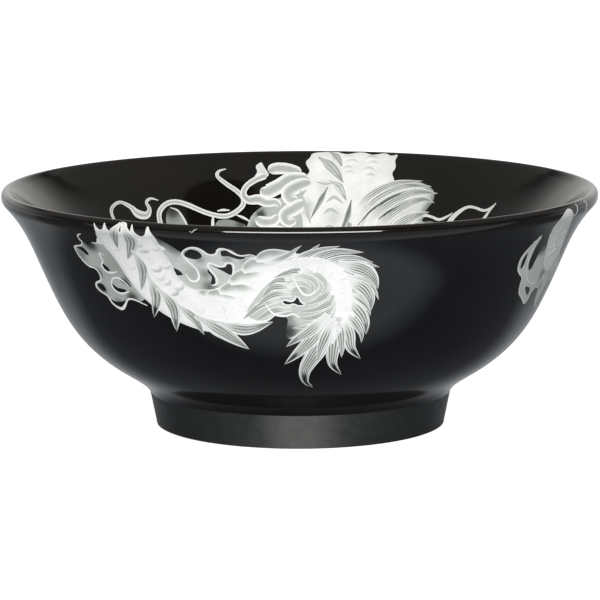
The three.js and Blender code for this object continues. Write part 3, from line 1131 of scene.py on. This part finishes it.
tuft_blades = [
    ([(38, 62), (46, 73), (50, 83)], 5.0, 4, 0.3),
    ([(42, 64), (51, 73), (57.5, 83)], 5.6, 5, 0.6),
    ([(42, 60), (54, 66), (60, 77)], 6.4, 5, 0.8),
    ([(44, 58), (56, 61), (66, 70.5)], 6.4, 5, 0.9),
    ([(42, 56), (54, 56), (65, 61)], 5.4, 4, 0.6),
    ([(34, 58), (40, 70), (40.5, 80)], 4.6, 4, 0.3),
    ([(40, 60), (50, 67.5), (55, 76)], 4.6, 4, 0.0),
]
enamel_piece("back_tuft", back, 0.1, leaves(tuft_blades, fill=0.66, root=0.6, cut=0.8))

# ---------- The print inside: whiskers, mane, head and shoulder of the dragon ----------


def rounded(far, side):
    """Pale along the edges and grey down the middle, so that a stroke looks round."""
    return 0.88 - 0.36 * (1 - smooth(abs(side), 0.1, 0.6))


whiskers = [
    [
        (-56, 44.5, 2.6), (-62, 46, 2.2), (-68, 49, 2), (-73.5, 55, 1.8), (-75.5, 61, 1.6),
        (-78.5, 65.5, 1.4), (-78.2, 70, 1.4), (-73, 72.2, 1.2), (-68.5, 69.8, 2), (-66.2, 67, 3.4),
        (-62.4, 66, 2.8), (-60.2, 68, 1.7), (-60.7, 71, 1.2), (-58.2, 72.2, 0.9),
        (-55.2, 71.2, 0.3),
    ],
    [
        (-50, 48, 2.8), (-53.4, 52.6, 2.6), (-55, 58, 2.4), (-56.8, 62, 2.2), (-56.2, 66.5, 2),
        (-52.5, 69.5, 1.9), (-48, 70, 2), (-43.5, 68.5, 2), (-37, 65.2, 1.9), (-31, 63.4, 1.9),
        (-26.5, 63.8, 1.9), (-22, 66.8, 1.9), (-21.3, 70, 1.9), (-23.5, 73, 1.9), (-27, 76, 1.8),
        (-29.7, 79.2, 1.4), (-28.8, 81.4, 1), (-26, 82.2, 0.3),
    ],
]
wisps = [
    [(-51, 68, 0.3), (-48, 66.5, 0.7), (-46, 62.5, 0.8), (-45, 58, 0.6), (-46, 54, 0.3)],
    [(-36, 54, 0.5), (-35, 58, 1.2), (-34.5, 61, 1.2), (-34, 63.4, 0.7)],
    [(-32, 65.4, 0.3), (-29.5, 65.7, 0.9), (-27, 65.4, 0.3)],
    [(-24.8, 63.6, 0.3), (-22, 62.4, 1), (-19.5, 60.8, 0.4)],
]
whisker_root = [
    (-51, 68.3), (-48, 67), (-45.5, 62.5), (-45, 57), (-47, 53), (-51, 54), (-54, 61), (-53.5, 65),
]
cheek = [(-33, 61), (-29, 62), (-25, 61), (-21, 59), (-22, 55), (-34, 55)]
enamel_piece(
    "whiskers", inside, 0.06,
    [
        blob(whisker_root, tone=0.5, shade=[(-50.5, 67.5, 6, 0.9), (-48, 54, 4, 0.8)]),
        blob(cheek, tone=0.45, shade=[(-23, 60, 4, 0.5), (-28, 55, 4, 0.6)]),
    ]
    + [ribbon(spine, rounded, round_ends=True, step=0.6) for spine in whiskers]
    + [ribbon(wisp, 0.85) for wisp in wisps],
)

# The head looks to the left under the whiskers.
head = [
    (-58, 39.5), (-58.4, 43), (-56, 46), (-52.5, 46.4), (-49.5, 44.6), (-45, 45), (-41, 47.4),
    (-38, 51), (-33, 53.6), (-26, 54.6), (-18, 54.4), (-10, 53), (-4, 50), (-3, 44), (-8, 38.5),
    (-15, 35.4), (-21, 34.6), (-26, 36), (-33, 37.6), (-40, 36.4), (-46, 36.8), (-51, 35.4),
    (-55, 36.4),
]
jaw = [
    (-19, 36), (-26, 35), (-32, 34), (-38, 32), (-44, 30.6), (-49, 32), (-51.4, 30.4), (-48, 27),
    (-41, 25.6), (-32, 26.6), (-24, 29), (-17, 32),
]
head_puffs = [
    (-50, 40, 6, 0.3), (-41, 42, 5, 0.28), (-29, 42, 6, 0.4), (-20, 47, 6, 0.3),
    (-12, 43, 6, 0.35), (-35, 50, 4, 0.3),
]
enamel_piece(
    "head", inside, 0.04,
    [
        blob(jaw, tone=0.72, edge_tone=0.9, shade=[(-30, 31, 5, 0.4), (-42, 28.5, 4, 0.3)]),
        blob(head, tone=0.8, edge_tone=0.93, shade=head_puffs),
    ],
)
fangs = [
    [(-54.5, 36.6), (-53.8, 31.6), (-52, 36.2)],
    [(-46.8, 36.8), (-45.6, 33.4), (-44.2, 36.8)],
    [(-41, 36.6), (-39.8, 33.8), (-38.4, 37)],
    [(-35, 37.6), (-33.8, 34.9), (-32.4, 37.4)],
    [(-48.6, 31.8), (-47.6, 35.4), (-46.4, 31.4)],
]
eye_white = [(-36.6, 47.6), (-33, 50.4), (-28.6, 49.4), (-27, 46.8), (-31, 45), (-35, 45.4)]
pupil = [(-34, 47.4), (-32, 48.8), (-30, 47.6), (-31.6, 46)]
nostril = [(-56.4, 42), (-54.4, 44), (-52, 42.6), (-54, 41)]
face_lines = [
    ([(-38.6, 47.6, 0.3), (-35, 51.4, 0.9), (-30, 52.2, 1.1), (-25.5, 50, 0.3)], 0.3),
    ([(-26, 45.6, 0.3), (-29, 43.2, 0.7), (-34, 42.6, 0.3)], 0.4),
    ([(-50, 42.4, 0.3), (-46, 41.4, 0.8), (-42.5, 43.6, 0.3)], 0.4),
    ([(-54, 38.8, 0.3), (-46, 39.4, 0.7), (-36, 40, 0.7), (-27, 38.6, 0.3)], 0.45),
    ([(-47, 28.6, 0.3), (-38, 28, 0.7), (-28, 30.6, 0.3)], 0.4),
]
enamel_piece(
    "face", inside, 0.055,
    [
        blob(eye_white, tone=0.95),
        blob(pupil, tone=0.05, step=0.7),
        blob(nostril, tone=0.1, step=0.7),
    ]
    + [ribbon(line, tone) for line, tone in face_lines]
    + [blob(fang, tone=0.97, step=0.6, sharp=True) for fang in fangs],
)
brow_and_beard = [
    ([(-36, 51.5), (-29, 56), (-20, 57)], 3.4, 3),
    ([(-27, 46), (-17, 49), (-9, 48)], 4.4, 4),
    ([(-25, 42), (-14, 43), (-5, 40)], 4.8, 4),
    ([(-24, 38.5), (-13, 36.5), (-6, 31.5)], 4.6, 4),
    ([(-26, 30), (-16, 29.5), (-9, 25.5)], 4, 3),
    ([(-33, 27.5), (-25, 25.6), (-19, 23.4)], 3.4, 3),
    ([(-47, 29), (-52, 26.4), (-58, 27)], 3, 3),
]
enamel_piece(
    "brow_and_beard", inside, 0.075,
    leaves(brow_and_beard, open_tip=0.2, fill=0.6, root=0.5, root_tone=0.85, cut=0.6),
)

mane_shape = [
    (-21, 57), (-19, 62.5), (-15, 66), (-9, 69), (-3, 72), (3, 76), (6, 66), (8, 52), (12, 44),
    (6, 38), (-4, 38), (-10, 46), (-18, 52),
]
mane_puffs = [
    (-1.5, 76, 4, 0.4), (-12.5, 70, 4.5, 0.95), (-15, 63.5, 3, 0.9), (-17, 59, 4, 0.4),
    (6, 40, 7, 0.7),
]
enamel_piece(
    "mane_back", inside, 0.02,
    [blob(mane_shape, tone=0.6, shade=mane_puffs)],
)


def lobe_tone(far, side):
    """A rounded lock of mane: pale edges, grey towards its middle."""
    return 0.6 + 0.36 * smooth(abs(side), 0.3, 0.85)


locks = [
    [(0, 41, 3), (4, 43, 4.4), (9, 42, 4.6), (13, 38.5, 3.6)],
    [(-4, 46, 3), (2, 48.5, 4.6), (9, 48, 4.8), (15, 44.5, 3.8)],
    [(-14, 58, 4), (-9, 56.5, 5), (-2, 54.5, 5.2), (6, 54, 5), (12, 50.5, 4)],
    [(-17, 62, 3.6), (-14.5, 60.5, 4.4), (-10.5, 60.6, 4), (-8, 63, 3)],
    [(0.5, 79.8, 4), (-4, 81.5, 4.8), (-8, 81.8, 5), (-11, 80.6, 4)],
    [(3, 77.5, 4.6), (-3, 77.5, 5), (-7.5, 74.5, 5.6), (-12, 72.3, 5.6), (-14.5, 73.2, 4)],
    [(4, 76, 4.6), (-0.5, 74.5, 5.4), (-4, 72, 5.6), (-3.5, 69, 4.6), (-0.5, 69, 3)],
    [(2, 68, 4.6), (-2, 65.5, 5.4), (-6, 63, 4.6), (-4.5, 60, 3.8), (-1.5, 61, 2.5)],
    [
        (-12, 79, 3), (-16, 77.2, 2.4), (-19.6, 74.6, 2.1), (-21, 71.5, 2.4), (-19.3, 69.2, 3.2),
        (-15.5, 69.3, 4), (-12.5, 68, 3.6), (-9, 68, 3), (-7.5, 66.4, 2),
    ],
]
enamel_piece(
    "mane_locks", inside, 0.05,
    [ribbon(lock, lobe_tone, round_ends=True, step=0.5) for lock in locks],
)
ear_shape = [
    (-13.3, 84.6), (-15.3, 83), (-15, 80.5), (-16, 78.6), (-13.5, 77.6), (-11, 79), (-11.8, 81.2),
    (-12.6, 83),
]
ear = blob(ear_shape, tone=0.65, edge_tone=0.86, step=0.8)
enamel_piece("ear", inside, 0.05, [ear])

shoulder_outline = [
    (7, 89.2), (4.3, 88.4), (3.6, 86.4), (2.2, 84.8), (2.6, 82.8), (3.6, 80.6), (2.6, 78.6),
    (3.6, 76.4), (3, 73.5), (1, 70), (0, 66), (1, 61), (2, 54), (6, 47), (16, 44), (26, 47),
    (24, 56), (24, 62), (26, 67.5), (30, 71.5), (34, 75.6), (34.6, 78), (33.4, 80.4), (34.2, 83),
    (33.4, 86), (33.7, 89), (31.6, 88.2), (29, 89.4), (25, 88.4), (21, 89.6), (16, 88.4),
    (12, 89.6),
]
shoulder_puffs = [
    (2.5, 66, 5, 0.3), (13, 62, 6, 0.22), (7, 55, 6, 0.25), (9, 74, 4, 0.15), (18, 50, 8, 0.3),
    (16, 44, 6, 0.6),
]
enamel_piece(
    "shoulder", inside, 0.07,
    [blob(shoulder_outline, tone=0.92, edge_tone=0.88, shade=shoulder_puffs)],
)
upper_spine = [(21.5, 76, 24), (22, 82, 26), (22, 88, 26)]
lower_spine = [(15, 46, 16), (17, 53, 16), (19, 60, 14)]
enamel_piece(
    "shoulder_scales", inside, 0.085,
    scale_marks(upper_spine, 4, (-0.3, 0.3), 2.8, 0.72)
    + scale_marks(lower_spine, 5, (-0.5, 0.1), 2.6, 0.72),
    rise=0.0,
)
shoulder_leaves = [
    ([(10.2, 89.6), (12.7, 87), (15, 82.6)], 4.0, 3, 0.66),
    ([(6.4, 86.8), (11.4, 82.4), (16, 75.8)], 6.6, 4, 0.72),
    ([(10.8, 76.6), (14.6, 74.2), (17.8, 68.4)], 4.4, 3, 0.78),
    ([(10.4, 74), (7.4, 67.8), (4.2, 61.4)], 2.8, 2, 0.5),
    ([(19.5, 69), (18.6, 63), (16, 55)], 3.0, 2, 0.45),
]
shoulder_strokes = [
    [(6, 76, 0.3), (9.5, 75.3, 0.8), (12.5, 75.6, 0.3)],
    [(0.2, 72.6, 0.3), (1.9, 67.5, 1.2), (3.2, 63, 1.6), (4.2, 59.5, 0.3)],
    [(10, 67.9, 0.3), (12.9, 70, 1.5), (16.6, 67.6, 0.3)],
    [(9.2, 63.4, 0.3), (11.8, 65.2, 1.4), (15.4, 63.4, 0.3)],
    [(9, 57.5, 0.3), (12, 58.6, 1.2), (16, 56, 0.3)],
]
enamel_piece(
    "shoulder_lines", inside, 0.09,
    [
        leaf(spine, width, lines, 0.2, fill=fill, root=0.2, root_tone=fill - 0.1, cut=0.3)
        for spine, width, lines, fill in shoulder_leaves
    ]
    + [ribbon(stroke, 0.64) for stroke in shoulder_strokes],
)

fin_shape = [
    (19, 56), (20, 63), (25, 70), (33, 75.6), (42, 77.8), (49.2, 75.8), (51.8, 73.2), (52, 69.8),
    (49.8, 66), (49, 61), (46, 55), (38, 50), (27, 50),
]
fin_blades = [
    ([(28, 54), (36, 65), (47, 70.5), (53, 69.6)], 6.0, 6),
    ([(34, 54), (42, 62), (51.5, 66)], 6.0, 6),
    ([(39, 54), (45, 59.5), (50.5, 62)], 5.0, 4),
    ([(25, 55), (32, 67), (43, 73), (53.4, 73.4)], 6.0, 6),
    ([(21, 57), (27.5, 69), (38, 75.2), (50, 76)], 5.4, 5),
    ([(20, 60), (24.5, 69), (34, 75.8), (46, 78)], 3.8, 4),
]
fin_gaps = [
    [(22.9, 59.2, 0.3), (28, 65.5, 0.8), (33.8, 69.8, 0.8), (39.5, 73.2, 0.2)],
    [(31, 62, 0.3), (34.4, 64.8, 1), (39.5, 68.1, 0.2)],
]
fin_puffs = [(30, 50, 8, 0.5), (44, 56, 7, 0.3), (52, 68, 5, 0.3)]
enamel_piece(
    "shoulder_fin", inside, 0.1,
    [blob(fin_shape, tone=0.78, edge_tone=0.48, shade=fin_puffs)]
    + leaves(fin_blades, open_tip=0.2, fill=0.76, root=0.5, root_tone=0.9, cut=0.55)
    + [ribbon(gap, 0.3) for gap in fin_gaps],
)
flame_tails = [
    [
        (38, 50, 0.5), (41.4, 55, 0.9), (44.6, 59.4, 0.9), (47, 62.4, 1.1), (49.8, 64.4, 1.1),
        (53, 64.2, 1), (56.6, 63.4, 1.1), (59.8, 64.8, 0.9), (62, 66.5, 0.3),
    ],
    [
        (56, 52, 0.6), (59, 56.5, 2), (61, 61, 2.6), (62.5, 64.6, 2.2), (65.4, 67.6, 1.6),
        (68.5, 69.4, 1.1), (72, 69.4, 1), (76.5, 68.8, 1), (79.5, 70, 1), (81.5, 72.3, 0.3),
    ],
    [
        (81.5, 72.3, 0.3), (79.5, 69, 1), (78, 66, 1.4), (75.5, 61.5, 1.6), (70.5, 56.5, 1.6),
        (63.5, 53.6, 1), (58, 52, 0.4),
    ],
]
ember = [(43, 54), (48.5, 61), (53, 62.5), (58, 61), (60, 58), (54, 53), (47, 51)]
enamel_piece(
    "inside_flames", inside, 0.04,
    [blob(ember, tone=0.35, shade=[(52, 56, 6, 0.6)])]
    + [ribbon(tail, 0.82) for tail in flame_tails],
)

# A forefoot reaches out under the fin, its claws spread.
forearm = [
    (20, 47), (27, 52), (34, 50), (40, 46.4), (44.5, 43.6), (47.6, 40.6), (46, 36.8), (41.5, 35.6),
    (37, 38), (31, 41), (24, 40.5), (19, 42.5),
]
claw_blades = [
    ([(42, 43), (49, 46), (55, 43), (58, 38.5)], 3.6, 3),
    ([(44, 41), (51, 41.4), (55, 37.6), (55.6, 33.6)], 3.6, 3),
    ([(43.5, 38), (49, 36), (50.6, 32), (48.6, 28.6)], 3.6, 3),
    ([(40.5, 38), (42, 33.6), (40, 30), (36.4, 28.6)], 3.4, 3),
]
forearm_puffs = [(27, 45, 5, 0.35), (37, 42, 4, 0.25), (22, 46, 4, 0.3)]
enamel_piece(
    "forefoot", inside, 0.06,
    [blob(forearm, tone=0.78, edge_tone=0.92, shade=forearm_puffs)]
    + leaves(claw_blades, open_tip=0.5, fill=0.7, root=0.8, root_tone=0.92, cut=0.5),
)

# ---------- Stage: floor, backdrop and lights ----------


def stage_shape(name, material, maker, **size):
    """A stage object that one of bmesh's makers shapes."""
    mesh = bpy.data.meshes.new(name)
    shape = bmesh.new()
    maker(shape, **size)
    shape.to_mesh(mesh)
    shape.free()
    mesh.materials.append(material)
    obj = bpy.data.objects.new(name, mesh)
    bpy.context.scene.collection.objects.link(obj)
    return obj


def disc(name, radius, height, material):
    """A flat round face, at a height in metres."""
    obj = stage_shape(
        name, material, bmesh.ops.create_circle, cap_ends=True, segments=96, radius=radius
    )
    obj.location.z = height
    return obj


def seen_by(obj, camera=False, glossy=False, diffuse=False):
    """Sets which rays meet a stage object. It never casts a shadow."""
    obj.visible_camera = camera
    obj.visible_glossy = glossy
    obj.visible_diffuse = diffuse
    obj.visible_shadow = False
    obj.visible_transmission = False
    return obj


# White paper that glows a little more far away, so that the floor meets the room without a seam.
paper = Shader("paper_floor", Roughness=0.9)
fibres = paper.noise(30, detail=3)
paper.colour(paper.blend(fibres, rgba(0.93, 0.93, 0.93), rgba(0.96, 0.96, 0.96)))
paper.surface.inputs["Emission Color"].default_value = rgba(1, 1, 1)
away = paper.node("ShaderNodeVectorMath", {"operation": "LENGTH"}, _0=paper.place())
paper_glow = paper.spread(away.outputs["Value"], 0.4, 2.5, 0.75, 1.0)
paper.tree.links.new(paper_glow, paper.surface.inputs["Emission Strength"])
seen_by(disc("floor", 8.0, -0.0002, paper.material), camera=True)


def glow_material(name, colour, strength):
    """An emission material. strength is a function that builds its strength from a Shader."""
    shader = Shader(name)
    total = strength(shader)
    shader.tree.nodes.remove(shader.surface)
    glow = shader.node("ShaderNodeEmission", Color=rgba(*colour), Strength=total)
    shader.tree.links.new(glow.outputs[0], shader.tree.nodes["Material Output"].inputs["Surface"])
    return shader.material


def table_light(shader):
    """The table as the glaze mirrors it: dim under the bowl, lit in front of it and behind it. The
    lit part behind starts further back the further it is to one side."""
    parts = shader.node("ShaderNodeSeparateXYZ", Vector=shader.place())
    forward = shader.math(
        "SUBTRACT",
        shader.spread(parts.outputs["Y"], -0.108, -0.088, 0.55, 0.0),
        shader.spread(parts.outputs["Y"], -0.22, -0.13, 0.28, 0.0),
    )
    aside = shader.math("ABSOLUTE", parts.outputs["X"], 0)
    behind = shader.math("SUBTRACT", parts.outputs["Y"], shader.math("MULTIPLY", aside, 0.42))
    near = shader.math(
        "MULTIPLY",
        shader.spread(behind, -0.048, -0.006, 0.0, 0.3),
        shader.spread(aside, 0.13, 0.17, 1.0, 0.6),
    )
    beyond = shader.spread(parts.outputs["Y"], 0.1, 0.6, 0.0, 0.4)
    lit = shader.math("ADD", shader.math("ADD", forward, near), beyond)
    return shader.math("ADD", lit, 0.13)


table_glow = glow_material("table_light", (0.92, 0.96, 1.0), table_light)
seen_by(disc("table_top", 4.0, -0.0004, table_glow), glossy=True, diffuse=True)


def tent_light(shader):
    """Bright low down behind the bowl, a dark band above that, a dim ceiling and dim sides."""
    parts = shader.node("ShaderNodeSeparateXYZ", Vector=shader.place())
    depth, height = parts.outputs["Y"], parts.outputs["Z"]
    backdrop = shader.math(
        "MULTIPLY",
        shader.spread(depth, 1.0, 3.2, 0.0, 1.0),
        shader.spread(height, 0.1, 0.6, 0.5, 0.85),
    )
    glow = shader.math("MULTIPLY", backdrop, shader.spread(height, 1.2, 1.95, 1.0, 0.0))
    ceiling = shader.spread(height, 2.05, 2.15, 0.0, 0.17)
    sides = shader.math(
        "MULTIPLY",
        shader.spread(depth, 1.5, 2.5, 0.19, 0.0),
        shader.spread(height, 1.1, 1.6, 0.0, 1.0),
    )
    dim = shader.math("ADD", shader.math("MAXIMUM", ceiling, sides), 0.08)
    return shader.math("ADD", glow, dim)


tent_glow = glow_material("tent_light", (1.0, 0.985, 0.96), tent_light)
tent = stage_shape(
    "tent", tent_glow, bmesh.ops.create_uvsphere, u_segments=64, v_segments=32, radius=4.0
)
tent.data.shade_smooth()
seen_by(tent, glossy=True, diffuse=True)

# A round black flag hangs in front, to the right, and shows in the glaze of the inside.
flag_black = glow_material("flag", (1, 1, 1), lambda shader: 0.01)
flag = seen_by(disc("flag", 0.55, 0, flag_black), glossy=True)
flag_azimuth = math.radians(44)
flag_elevation = math.radians(42)
flag_direction = Vector(
    (math.sin(flag_azimuth), -math.cos(flag_azimuth), math.tan(flag_elevation))
).normalized()
flag.location = flag_direction * 2.0
flag.rotation_mode = "QUATERNION"
flag.rotation_quaternion = flag_direction.to_track_quat("Z", "Y")

# The room is white for the camera only. The glaze mirrors the tent and the table instead.
world = bpy.data.worlds.new("white_room")
world.use_nodes = True
world.node_tree.nodes["Background"].inputs["Color"].default_value = rgba(1, 1, 1)
world.node_tree.nodes["Background"].inputs["Strength"].default_value = 1.02
for ray in ("diffuse", "glossy", "transmission", "scatter"):
    setattr(world.cycles_visibility, ray, False)
bpy.context.scene.world = world


def softbox(name, azimuth, elevation, distance, width, height, power, colour):
    """A rectangular light that faces the middle of the bowl. Azimuth 0 is in front, 90 to the right."""
    middle_of_bowl = Vector((0, 0, 0.05))
    lamp = bpy.data.lights.new(name, "AREA")
    lamp.shape = "RECTANGLE"
    lamp.size = width
    lamp.size_y = height
    lamp.energy = power
    lamp.color = colour
    a, e = math.radians(azimuth), math.radians(elevation)
    direction = Vector((math.sin(a) * math.cos(e), -math.cos(a) * math.cos(e), math.sin(e)))
    obj = bpy.data.objects.new(name, lamp)
    obj.location = direction * distance + middle_of_bowl
    obj.rotation_mode = "QUATERNION"
    obj.rotation_quaternion = direction.to_track_quat("Z", "Y")
    bpy.context.scene.collection.objects.link(obj)
    return obj


softbox("key", 1, 21, 1.9, 2.0, 0.4, 50, (1.0, 0.985, 0.96))

# A small lamp low in front warms the middle of the foot, like light off the table, and nothing else.
bounce = bpy.data.lights.new("foot_bounce", "AREA")
bounce.size = 0.03
bounce.energy = 0.046
bounce.color = (1.0, 0.98, 0.93)
bounce.use_shadow = False
bounce_lamp = bpy.data.objects.new("foot_bounce", bounce)
bounce_lamp.location = (0, -0.1, -0.02)
bounce_lamp.rotation_mode = "QUATERNION"
bounce_lamp.rotation_quaternion = Vector((0, -0.05, -0.025)).to_track_quat("Z", "Y")
bpy.context.scene.collection.objects.link(bounce_lamp)
only_foot = bpy.data.collections.new("only_foot")
only_foot.objects.link(foot_coat)
bounce_lamp.light_linking.receiver_collection = only_foot

# ---------- Camera: a long lens, a little above the rim ----------

camera_data = bpy.data.cameras.new("camera")
camera_data.lens = 222.8
camera_data.sensor_width = 36
camera_data.clip_start = 0.05
camera_data.clip_end = 50
camera = bpy.data.objects.new("camera", camera_data)
elevation = math.radians(9.21)
distance = 1.3121
aim_height = 0.04343
backwards = Vector((0, -math.cos(elevation), math.sin(elevation)))
camera.location = Vector((0, 0, aim_height)) + backwards * distance
camera.rotation_mode = "QUATERNION"
roll = Quaternion((0, 0, 1), math.radians(-0.2))
camera.rotation_quaternion = backwards.to_track_quat("Z", "Y") @ roll
bpy.context.scene.collection.objects.link(camera)
bpy.context.scene.camera = camera

scene = bpy.context.scene
scene.view_settings.view_transform = "Standard"
scene.view_settings.look = "None"
